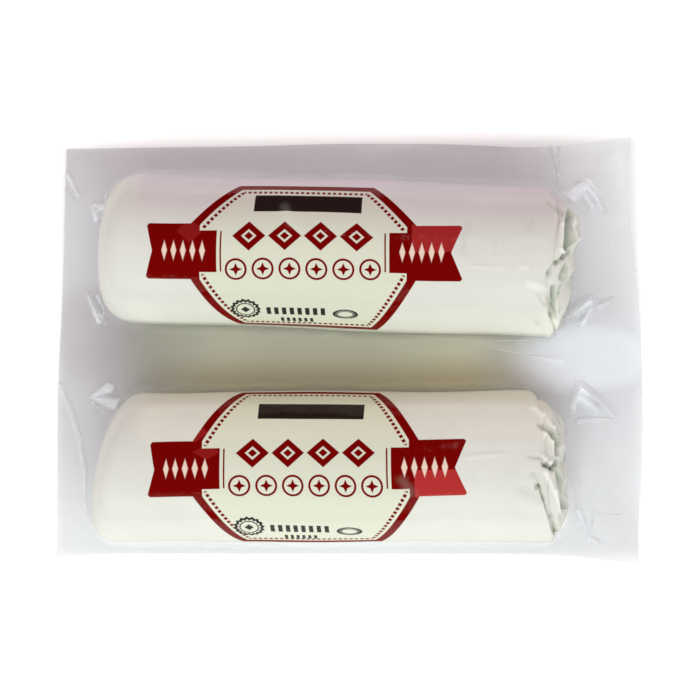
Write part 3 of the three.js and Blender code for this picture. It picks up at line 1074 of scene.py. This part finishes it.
# The eight-sided panel with its border and stitching, and the tabs at its sides.
# It gives the panel and what is red.
def panelPrint(sheet, log):
    shape, u, v = printShape, sheet.u, sheet.v
    wideU, wideV = abs(u), abs(v)
    upperHalf = v.step(-0.5, 0.5)
    slant = upperHalf * (log["topSlant"] - shape["slant"]) + shape["slant"]
    lean = (slant * slant + 1) ** -0.5
    slanted = (wideU + (wideV - shape["slantFrom"]) * slant - shape["sideAt"]) * lean
    level = wideV - upperHalf * (log["topAt"] - shape["bottomAt"]) - shape["bottomAt"]
    eight = slanted.over(level).over(wideU - shape["sideAt"])
    panel = sheet.inside(eight)

    onLevel = (level - slanted).step(-0.2, 0.2)
    alongSlant = (wideV - wideU * slant) * lean
    alongEdge = alongSlant + (u - alongSlant) * onLevel
    dash = abs((alongEdge / shape["stitchPitch"]).fraction() - 0.5)
    dashEdge = (dash - shape["stitchShare"] / 2) * shape["stitchPitch"]
    stitchMiddle = shape["border"] + shape["stitchGap"] + shape["stitchWidth"] / 2
    stitches = (abs(eight + stitchMiddle) - shape["stitchWidth"] / 2).over(dashEdge)

    leftNotch, rightNotch = shape["notch"]
    notch = (u.step(-1, 1) * (rightNotch - leftNotch) + leftNotch) * (1 - wideV * (1 / shape["tabHalf"]))
    tab = (wideU + notch - shape["tabEnd"]).over(wideV - shape["tabHalf"]).over(shape["tabStart"] - wideU)
    tab = tab.over((wideU + wideV - shape["tabEnd"] - shape["tabHalf"] + 1.0) * math.sqrt(0.5))
    offBand = wideV - shape["bandHalf"]
    band = offBand.over(shape["bandStart"] - wideU).over(wideU - shape["sideAt"])
    pin = (offBand + 0.2).over(abs(wideU - shape["pinAt"]) - shape["pinHalf"])
    nearBand = (offBand - shape["clearRoom"]).over(shape["clearStart"] - wideU)
    nearBand = nearBand.over(wideU - shape["clearEnd"])
    red = panel * (1 - sheet.inside(eight + shape["border"]))
    red = red.over(sheet.inside(tab)).over(sheet.inside(band)).over(sheet.inside(pin))
    return panel, red.over(sheet.inside(stitches) * (1 - sheet.inside(nearBand)))


def lozengeMark(spot):
    return lineInside(spot.lozenge(0.0, 4.9, 5.3, 4.7), 0.95).under(spot.lozenge(0.0, 4.9, 1.5, 1.3))


def ringMark(spot):
    star = spot.lozenge(0.0, -5.7, 0.9, 2.1).under(spot.lozenge(0.0, -5.7, 2.1, 0.9))
    return lineInside(spot.oval(0.0, -5.7, 3.5, 3.6), 0.36).under(star)


def tabMark(spot):
    return spot.lozenge(0.0, 0.2, 0.95, 3.1)


# Bars, a scalloped stamp and an oval, in dark ink.
def inkPrint(sheet, low):
    shape = printShape
    bars = sheet.row(*shape["bars"], lambda spot: spot.box(0.0, low - 0.6, 0.7, 1.8))
    smallBars = sheet.row(*shape["smallBars"], lambda spot: spot.box(0.0, low - 5.6, 0.5, 1.3))
    across, up = sheet.u - shape["stampAt"], sheet.v - low
    around = (across * across + up * up) ** 0.5
    bearing = sheet.book.make("ShaderNodeMath", {"operation": "ARCTAN2"}, {0: up, 1: across})
    stamp = lineInside(around - (bearing * 16).sin() * 0.28 - 4.7, 0.55)
    stamp = stamp.under(abs(around - 2.9) - 0.22).under(sheet.lozenge(shape["stampAt"], low, 1.5, 1.5))
    oval = lineInside(sheet.oval(shape["ovalAt"], low - 1.6, 4.1, 2.3), 0.3)
    oval = oval.under(lineInside(sheet.oval(shape["ovalAt"], low - 1.6, 3.0, 1.5), 0.14))
    return sheet.inside(bars.under(smallBars).under(stamp).under(oval), shape["inkSoft"])


def labelPrint(book, log, u, v, base):
    shape, colour = printShape, printColours
    sheet = PrintSheet(book, u, v)
    panel, red = panelPrint(sheet, log)
    for kind, draw in (("lozenges", lozengeMark), ("rings", ringMark)):
        red = red.over(sheet.inside(sheet.row(*shape[kind], draw)))
    plateMiddle, halfLength, halfHeight = shape["plate"]
    plate = sheet.inside(sheet.box(plateMiddle, log["plateAt"], halfLength, halfHeight))
    ink = inkPrint(sheet, log["stampsAt"])
    marks = sheet.row(*shape["leftMarks"], tabMark).under(sheet.row(*shape["rightMarks"], tabMark))
    pale = sheet.inside(marks, 0.2)
    # Painted highlights: patches where the red is painted lighter, where light glints off the film over the
    # tabs and marks.
    droopAndHighlightShare = 0.0
    for strength, kind, *place in log["redHighlights"]:
        edge = sheet.box(*place) if kind == "box" else sheet.lozenge(*place)
        droopAndHighlightShare = sheet.inside(edge, 0.3) * strength + droopAndHighlightShare
    redInkAndHighlight = book.colours(droopAndHighlightShare.clamp(), colour["red"], colour["redHighlight"])
    done = book.colours(panel, base, colour["cream"])
    for mask, paint in ((red, redInkAndHighlight), (pale, colour["ribbonMark"]), (plate, colour["plate"])):
        done = book.colours(mask, done, paint)
    return book.colours(ink * panel, done, colour["ink"]), panel


wrapFinish = {
    "warpScale": 26.0,  # of the noise that makes the print's edges waver
    "mottleScale": 60.0,
    "mottleShade": 0.965,
    "patchScale": 190.0,
    "patchFrom": (0.46, 0.62),
    "patchShade": (0.45, 0.12),
    "hollowShade": 0.85,
    "wallFrom": (-66.0, -52.0),  # along the log, where the painted light and shade stop towards its left end
    "nearFrom": (14.0, 34.0),  # round the log from the label's middle, where each band of painted light and shade comes in
    "farFrom": (2.0, 18.0),
    "browFrom": (21.0, 27.0),
    "paintedShadingEnds": (42.0, 66.0),
    "crestShine": (0.55, 0.45),
    "roughness": (0.16, 0.3),
    "creaseScale": 240.0,
    "softScale": 75.0,
    "bumpHeights": (0.8, 0.05),  # of the soft noise and of the creases
    "bumpStrength": 0.35,
    "bumpDistance": 0.0006,
}


def printedWrap(name, log, printPlace):
    finish, colours = wrapFinish, printColours
    material, book = newMaterial(name)
    place = book.objectPlace()
    around, height, _ = book.split(book.make("ShaderNodeUVMap", {"uv_map": "OFBake"}))
    along = height * printPlace["length"] + (printPlace["shift"] - log["labelAt"])
    arc = (around - 0.5) * (-2 * math.pi * logShape["radius"]) - log["labelRoll"] * logShape["radius"]
    cosine, sine = math.cos(log["labelTilt"]), math.sin(log["labelTilt"])
    u, v = along * cosine + arc * sine, arc * cosine - along * sine
    sways = [book.noise(place, finish["warpScale"], 1.0, 0.4, seed=log["seed"] + more) for more in (0, 5)]
    swayU, swayV = ((sway - 0.5) * printShape["waver"] for sway in sways)
    mottle = book.noise(place, finish["mottleScale"], 3.0, 0.6, seed=log["seed"])
    shaded = tuple(c * finish["mottleShade"] for c in colours["paper"])
    paper = book.colours(mottle.step(0.3, 0.7), colours["paper"], shaded)
    colour, panel = labelPrint(book, log, u + swayU, v + swayV, paper)
    paintedFoldShade, paintedCrestShine, gather = book.paint("paintedFoldShade"), book.paint("paintedCrestShine"), book.paint("gather")
    onWall = along.step(*finish["wallFrom"]) * (1 - gather.step(0.0, 0.08))
    # Painted light and shade: the wrap is painted lighter or darker on its near side, its far side and along
    # its far edge, as the light falls on it.
    for side, part in ((-arc, "near"), (arc, "far"), (arc, "brow")):
        mask = side.step(*finish[part + "From"]) * (1 - side.step(*finish["paintedShadingEnds"])) * onWall
        colour = book.colours(mask, colour, log[part + "Tint"], "MULTIPLY")
    # Painted shade: the valleys of the folds and noisy patches over the gathered end darken the wrap towards
    # a grey-green.
    crumpleShadePatches = book.noise(place, finish["patchScale"], 4.0, 0.65, seed=log["seed"] + 7)
    crumpleShadePatches = crumpleShadePatches.step(*finish["patchFrom"])
    patchMost, patchLeast = finish["patchShade"]
    shade = paintedFoldShade * finish["hollowShade"] + (crumpleShadePatches * patchMost + patchLeast) * gather.step(0.0, 0.1)
    colour = book.colours(shade.clamp(), colour, colours["paintedFoldShade"])
    # Painted shine along the crests of the folds, weaker on the label's panel.
    shine, lostOnPanel = finish["crestShine"]
    colour = book.colours(paintedCrestShine.step(0.1, 0.9) * (shine - panel * lostOnPanel), colour, colours["paintedCrestShine"])
    crease = book.noise(place, finish["creaseScale"], 3.0, 0.6, "RIDGED_MULTIFRACTAL", log["seed"])
    soft = book.noise(place, finish["softScale"], 3.0, 0.55, seed=log["seed"] + 2)
    softHeight, creaseHeight = finish["bumpHeights"]
    bumped = book.make("ShaderNodeBump", None, {
        "Strength": finish["bumpStrength"],
        "Distance": finish["bumpDistance"],
        "Height": soft * softHeight + crease * creaseHeight,
    })
    uneven, smoothest = finish["roughness"]
    surface = book.make("ShaderNodeBsdfPrincipled", None, {
        "Base Color": colour,
        "Roughness": mottle * uneven + smoothest,
        "Specular IOR Level": 0.0,  # the film over it gives the gloss
        "Normal": bumped,
    })
    book.make("ShaderNodeOutputMaterial", None, {"Surface": surface})
    return material


# The pouch's film is clear over the logs, and milky where its two layers lie together and along its folds.

filmFinish = {
    "milk": 0.30,
    "shine": 0.9,  # share of the mirrored light that shows
    "wrapGloss": 0.035,  # and its most over the logs, and what the flat film adds
    "flatGloss": 0.06,
    "mirrorRoughness": 0.11,
    "milkRoughness": 0.4,
    "index": 1.27,
    "cloudScale": 22.0,
    "ruffleScale": 130.0,
    "bumpStrength": 0.5,
    "bumpDistance": 0.0008,
    "plain": (0.58, 0.575, 0.63),
    # Painted shade colour for the far side and the dim patch.
    "paintedShadeLilac": (0.42, 0.380, 0.43),
    # Painted shade between the logs: the web's far, near and dim colours.
    "webFar": (0.76, 0.77, 0.60),
    "webNear": (0.60, 0.54, 0.33),
    "webDim": (0.40, 0.40, 0.33),
    "webMilk": 0.7,  # how much milkier the film is between the logs, and in the glare
    "glareMilk": 0.4,
    "webX": ((-0.085, -0.062), (0.035, 0.078)),  # where the web between the logs comes in and ends
    "webY": ((-0.036, -0.012), (0.006, 0.03)),
    "webTurn": (-0.010, 0.002),  # from its near colour to its far one
    "webLit": ((-0.075, -0.035, 0.7), (0.005, 0.04, 0.3)),  # where the painted light lightens it along x, and how far
    "farY": (0.044, 0.066),
    "farX": (0.045, 0.075),
    "rightX": (0.062, 0.082),
    "rightY": (-0.064, -0.042),
    "lowLeftX": (0.02, 0.08),
    "lowLeftY": (-0.06, -0.02),
    # Painted light: the colour of the brighter film, and where its glare patch lies.
    "bright": (0.90, 0.93, 0.98),
    "brightAt": (0.082, -0.003),
    "brightReach": (0.026, 0.013),
    "dimAt": (-0.084, 0.006),
    "dimReach": (0.024, 0.016),
    "creaseCloudScale": 300.0,
    # Painted highlight: the near-white colours of the creases.
    "creasePale": (0.82, 0.82, 0.81),
    "creaseBright": (0.93, 0.93, 0.93),
    "creaseRoughness": 0.14,
    "creaseIndex": 1.6,
    "creaseCoatRoughness": 0.05,
    "creaseShow": (0.4, 0.45),  # share of a crease that shows: what the clouds add, and its least
}


def spanOf(value, start, end):
    return value.step(*start) * (1 - value.step(*end))


def patchAt(x, y, middle, reach):
    across, up = (x - middle[0]) * (1 / reach[0]), (y - middle[1]) * (1 / reach[1])
    return 1 - (across * across + up * up).step(0.2, 1.6)


def closeFilm(book, share, first, second):
    mixed = book.make("ShaderNodeMixShader", None, {0: share, 1: first, 2: second})
    book.make("ShaderNodeOutputMaterial", None, {"Surface": mixed})


def filmMaterial():
    finish = filmFinish
    material, book = newMaterial("clearFilm")
    place = book.objectPlace()
    x, y, _ = book.split(place)
    veil = book.paint("veil")
    cloud = book.noise(place, finish["cloudScale"], 3.0, 0.5, seed=4.0)
    # Painted shade: the film is darker lilac on its far side, behind the back log, and in a dim patch at the
    # left of the web.
    far = y.step(*finish["farY"]) * (1 - x.step(*finish["farX"]))
    betweenLogs = spanOf(x, *finish["webX"]) * spanOf(y, *finish["webY"])
    glare = patchAt(x, y, finish["brightAt"], finish["brightReach"])
    dim = patchAt(x, y, finish["dimAt"], finish["dimReach"])
    # Painted light: the film is painted brighter towards its right and lower edges, in a glare patch, and on
    # its folds as a painted highlight.
    right = x.step(*finish["rightX"]) * (cloud.step(0.3, 0.7) * 0.35 + 0.45)
    right = right * (y.step(*finish["rightY"]) * 0.65 + 0.35)
    lowLeft = (1 - y.step(*finish["lowLeftY"])) * (1 - x.step(*finish["lowLeftX"]) * 0.5)
    bright = right.over(lowLeft * 0.5) * (1 - betweenLogs)
    bright = bright.over(glare).over((veil - 1).step(0.05, 0.6))
    # Painted shade between the logs: dark olive near the front log, paler towards the back one, darker at
    # its ends, and painted lighter along x where it is lit.
    web = book.colours(y.step(*finish["webTurn"]), finish["webNear"], finish["webFar"])
    leftLit, rightLit = (x.step(*edge) * share for *edge, share in finish["webLit"])
    web = book.colours(leftLit + rightLit, finish["webDim"], web)
    colour = book.colours(far.over(dim * 0.8), finish["plain"], finish["paintedShadeLilac"])
    colour = book.colours(betweenLogs, colour, web)
    colour = book.colours(bright, colour, finish["bright"])
    milk = veil * finish["milk"] * (cloud * 0.4 + 0.8) * (betweenLogs * finish["webMilk"] + 1)
    milk = milk + veil * glare * finish["glareMilk"]
    bumped = book.make("ShaderNodeBump", None, {
        "Strength": finish["bumpStrength"],
        "Distance": finish["bumpDistance"],
        "Height": book.noise(place, finish["ruffleScale"], 3.0, 0.55, seed=8.0),
    })
    fresnel = book.make("ShaderNodeFresnel", None, {"IOR": finish["index"]})
    gloss = (fresnel * finish["shine"]).under(veil * finish["flatGloss"] + finish["wrapGloss"])
    clear = book.make("ShaderNodeBsdfTransparent", None, {"Color": (1.0, 1.0, 1.0)})
    mirror = book.make("ShaderNodeBsdfGlossy", None, {
        "Color": (1.0, 1.0, 1.0),
        "Roughness": finish["mirrorRoughness"],
        "Normal": bumped,
    })
    milky = book.make("ShaderNodeBsdfPrincipled", None, {
        "Base Color": colour,
        "Roughness": finish["milkRoughness"],
        "Specular IOR Level": 0.0,
        "Normal": bumped,
    })
    body = book.make("ShaderNodeMixShader", None, {0: milk.clamp(), 1: clear, 2: milky})
    closeFilm(book, gloss, body, mirror)
    return material


def creaseMaterial():
    finish = filmFinish
    material, book = newMaterial("filmCrease")
    # The creases are painted near white, a painted highlight for the glare along the pinched film.
    cloud = book.noise(book.objectPlace(), finish["creaseCloudScale"], 2.0, 0.5)
    surface = book.make("ShaderNodeBsdfPrincipled", None, {
        "Base Color": book.colours(cloud.step(0.3, 0.7), finish["creasePale"], finish["creaseBright"]),
        "Roughness": finish["creaseRoughness"],
        "IOR": finish["creaseIndex"],
        "Coat Weight": 1.0,
        "Coat Roughness": finish["creaseCoatRoughness"],
    })
    clear = book.make("ShaderNodeBsdfTransparent", None, {"Color": (1.0, 1.0, 1.0)})
    more, least = finish["creaseShow"]
    closeFilm(book, cloud * more + least, clear, surface)
    return material


# The studio

studio = {
    "floor": (0.97, 0.97, 0.97),
    "floorShade": 0.99,  # of its darkest clouds
    "floorRoughness": 0.9,
    "floorHalf": 1.6,
    "glowAt": (-0.0019, 0.0031),  # the floor glows faintly outside the pack, so its shadow stays pale
    "glowFrom": (0.0955, 0.0667),
    "glowReach": 0.007,
    "glowStrength": 0.38,
    "world": (1.0, 0.91, 0.93),
    "worldStrength": 0.62,
    "lights": {  # place, aim, width, depth, power in watts, colour, and whether gloss mirrors it
        "front": ((0.0, -1.20, 0.70), (0, -0.01, 0.02), 1.2, 0.7, 3.4, (0.84, 1.0, 0.84), True),
        "frontHigh": ((0.0, -0.95, 1.05), (0, 0, 0.02), 1.2, 0.7, 8.2, (0.85, 1.0, 0.98), False),
        "backHigh": ((0.0, 0.75, 1.20), (0, 0, 0.02), 1.2, 0.7, 2.4, (1.0, 0.92, 0.80), False),
        "window": ((0.22, 0.40, 1.0), (0.02, 0.0, 0.03), 0.46, 0.20, 0.6, (1.0, 1.0, 1.0), True),
    },
    "cameraTilt": math.radians(7.0),  # from straight above
    "cameraTurn": math.radians(-45.0),  # of the tilt, from +X towards +Y
    "distance": 0.7,
    "focalLength": 109.8,
    "sensorWidth": 36,
    "clipStart": 0.01,
    "target": (0.0013, 0.0, 0.022),
}


def makeFloor():
    half = studio["floorHalf"] / mm
    material, book = newMaterial("paperFloor")
    place = book.objectPlace()
    x, y, _ = book.split(place)
    (middleX, middleY), (wide, deep) = studio["glowAt"], studio["glowFrom"]
    outside = (abs(x - middleX) - wide).over(abs(y - middleY) - deep)
    glow = outside.step(0.0, studio["glowReach"])
    pale = studio["floor"]
    shaded = tuple(c * studio["floorShade"] for c in pale)
    surface = book.make("ShaderNodeBsdfPrincipled", None, {
        "Base Color": book.colours(book.noise(place, 3.0, 2.0), pale, shaded),
        "Roughness": studio["floorRoughness"],
        "Emission Color": book.colours(glow, (0.0, 0.0, 0.0), (1.0, 1.0, 1.0)),
        "Emission Strength": studio["glowStrength"],
    })
    book.make("ShaderNodeOutputMaterial", None, {"Surface": surface})
    corners = [(-half, -half, 0), (half, -half, 0), (half, half, 0), (-half, half, 0)]
    meshObject("floor", corners, [(0, 1, 2, 3)], material)


def makeLights(scene):
    world = bpy.data.worlds.new("studio")
    scene.world = world
    world.use_nodes = True
    background = world.node_tree.nodes["Background"]
    background.inputs["Color"].default_value = (*studio["world"], 1)
    background.inputs["Strength"].default_value = studio["worldStrength"]
    world.cycles_visibility.glossy = False
    for name, (place, aim, width, depth, power, colour, mirrored) in studio["lights"].items():
        light = bpy.data.lights.new(name, "AREA")
        light.shape = "RECTANGLE"
        light.size, light.size_y = width, depth
        light.energy = power
        light.color = colour
        lamp = bpy.data.objects.new(name, light)
        lamp.visible_glossy = mirrored
        lamp.location = place
        lamp.rotation_euler = (Vector(aim) - Vector(place)).to_track_quat("-Z", "Y").to_euler()
        scene.collection.objects.link(lamp)


def makeCamera(scene):
    tilt, turn = studio["cameraTilt"], studio["cameraTurn"]
    away = Vector((math.sin(tilt) * math.cos(turn), math.sin(tilt) * math.sin(turn), math.cos(tilt)))
    right = Vector((0, 1, 0)).cross(away).normalized()
    place = Vector(studio["target"]) + away * studio["distance"]
    camera = bpy.data.objects.new("camera", bpy.data.cameras.new("camera"))
    camera.data.lens = studio["focalLength"]
    camera.data.sensor_width = studio["sensorWidth"]
    camera.data.clip_start = studio["clipStart"]
    columns = (right, away.cross(right), away, place)
    camera.matrix_world = Matrix([[column[i] for column in columns] for i in range(3)] + [(0, 0, 0, 1)])
    scene.collection.objects.link(camera)
    scene.camera = camera


def makeStudio():
    scene = bpy.context.scene
    scene.view_settings.view_transform = "Standard"
    makeFloor()
    makeLights(scene)
    makeCamera(scene)
    print("studio ready")


# The pack is drawn about its own middle, then moved so that its outline sits on the CAD pouch's.
pouchLow, pouchHigh = (np.array(corner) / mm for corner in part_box("clear_pouch"))
outlineBox = pouchOutline()
packShift = (pouchLow + pouchHigh)[:2] / 2 - (outlineBox.min(0) + outlineBox.max(0)) / 2

makeStudio()
dressed = dressLogs()
pouch = clearPouch(dressed, filmMaterial())
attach(pouch, "root")
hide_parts("clear_pouch")
creases = filmCreases(pouch, creaseMaterial())
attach(creases, "root")
